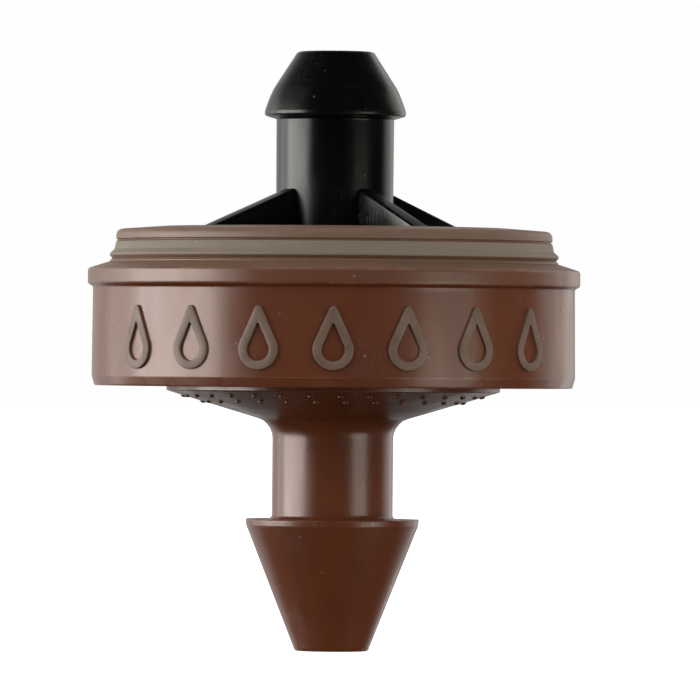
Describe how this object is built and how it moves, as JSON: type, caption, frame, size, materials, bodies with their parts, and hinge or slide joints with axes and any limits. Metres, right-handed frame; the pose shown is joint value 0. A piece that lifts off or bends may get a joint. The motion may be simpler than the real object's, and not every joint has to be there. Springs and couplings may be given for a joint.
{
  "type": "drip emitter",
  "caption": "Button-shaped pressure-compensating drip emitter: barbed inlet below, round body with skirt and top ring, barbed outlet nipple on top.",
  "frame": {"origin": "on the axis at the root of the inlet shank, where it meets the underside of the body", "axes": "+Z along the axis towards the outlet nipple; -Y is the side seen from the front"},
  "size_m": [0.0182, 0.0182, 0.0222],
  "materials": {
    "brown_plastic": "semi-gloss moulded",
    "black_plastic": "semi-gloss moulded",
    "natural_plastic": "matt moulded",
    "silicone": "soft matt"
  },
  "bodies": {
    "emitter_body": {"inlet_base": "brown_plastic", "body_shell": "brown_plastic", "retaining_ring": "brown_plastic", "outlet_cap": "black_plastic", "inlet_filter": "natural_plastic", "labyrinth_disc": "natural_plastic"},
    "diaphragm": {"diaphragm": "silicone"}
  },
  "joints": [
    {"name": "diaphragm_lift", "type": "slide", "parent": "emitter_body", "child": "diaphragm", "axis": [0, 0, 1], "range_m": [0, 0.0003], "stiffness_N_per_m": 20}
  ]
}
